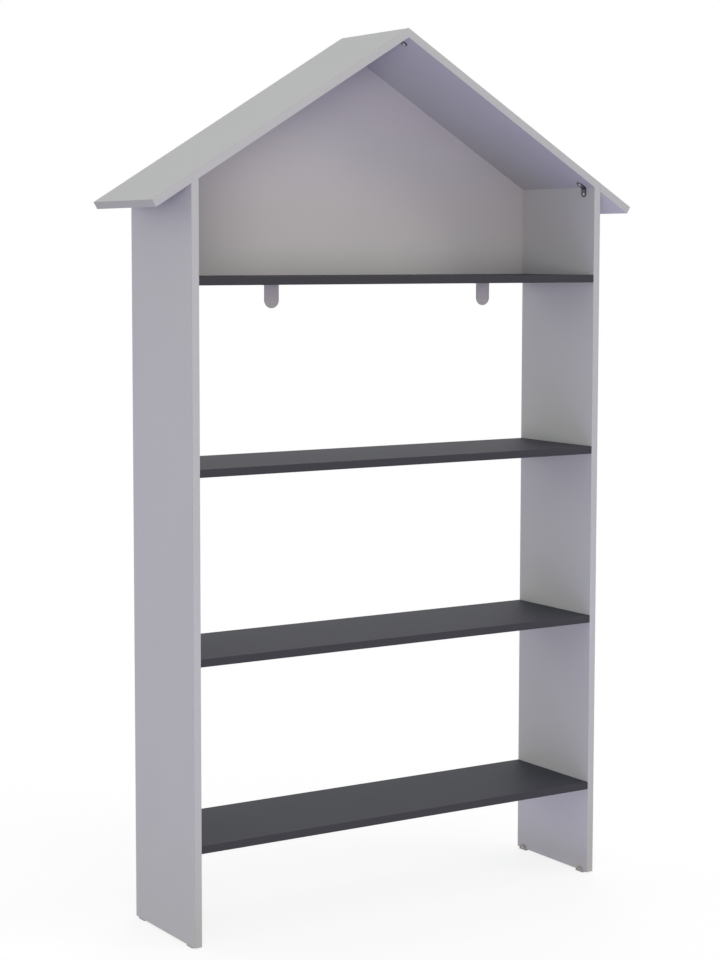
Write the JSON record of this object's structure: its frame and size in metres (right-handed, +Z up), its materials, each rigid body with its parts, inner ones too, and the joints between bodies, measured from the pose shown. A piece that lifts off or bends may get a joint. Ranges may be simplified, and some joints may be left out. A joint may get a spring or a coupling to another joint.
{
  "type": "house-shaped bookshelf",
  "caption": "Tall open bookshelf for a child's room with a gable roof, pale side panels, dark fixed shelves and a backed gable bay.",
  "frame": {"origin": "on the floor, at the middle of the width and of the depth, under the ridge", "axes": "+Z up, +X to the right seen from the open front, +Y to the rear"},
  "size_m": [1.156, 0.253, 1.8],
  "materials": {
    "pale_board": "melamine-faced chipboard, pale cool grey, fine satin texture",
    "pale_band": "plastic edge band, pale cool grey, satin",
    "dark_board": "melamine-faced chipboard, anthracite, fine satin texture",
    "dark_band": "plastic edge band, anthracite, satin",
    "back_board": "thin fibreboard, lacquered pale grey in front",
    "dowel_wood": "plain beech",
    "zinc_steel": "zinc plated",
    "dark_steel": "dark grey powder coat",
    "tab_paint": "pale grey powder coat",
    "glide_plastic": "moulded grey plastic"
  },
  "bodies": {
    "root": {"left_side_panel": "pale_board", "right_side_panel": "pale_board", "left_side_bands": "pale_band", "right_side_bands": "pale_band", "left_roof_panel": "pale_board", "right_roof_panel": "pale_board", "left_roof_bands": "pale_band", "right_roof_bands": "pale_band", "top_shelf": "dark_board", "upper_shelf": "dark_board", "lower_shelf": "dark_board", "bottom_shelf": "dark_board", "top_shelf_bands": "dark_band", "upper_shelf_bands": "dark_band", "lower_shelf_bands": "dark_band", "bottom_shelf_bands": "dark_band", "gable_back": "back_board", "gable_back_nails": "zinc_steel", "top_shelf_cams": "zinc_steel", "upper_shelf_cams": "zinc_steel", "lower_shelf_cams": "zinc_steel", "bottom_shelf_cams": "zinc_steel", "top_shelf_cam_bolts": "zinc_steel", "upper_shelf_cam_bolts": "zinc_steel", "lower_shelf_cam_bolts": "zinc_steel", "bottom_shelf_cam_bolts": "zinc_steel", "top_shelf_dowels": "dowel_wood", "upper_shelf_dowels": "dowel_wood", "lower_shelf_dowels": "dowel_wood", "bottom_shelf_dowels": "dowel_wood", "roof_seat_dowels": "dowel_wood", "ridge_dowels": "dowel_wood", "left_corner_bracket": "dark_steel", "right_corner_bracket": "dark_steel", "ridge_bracket": "dark_steel", "bracket_screws": "zinc_steel", "left_hanging_tab": "tab_paint", "right_hanging_tab": "tab_paint", "hanging_tab_screws": "zinc_steel", "front_left_glide": "glide_plastic", "front_right_glide": "glide_plastic", "rear_left_glide": "glide_plastic", "rear_right_glide": "glide_plastic", "glide_nails": "zinc_steel"}
  },
  "joints": []
}
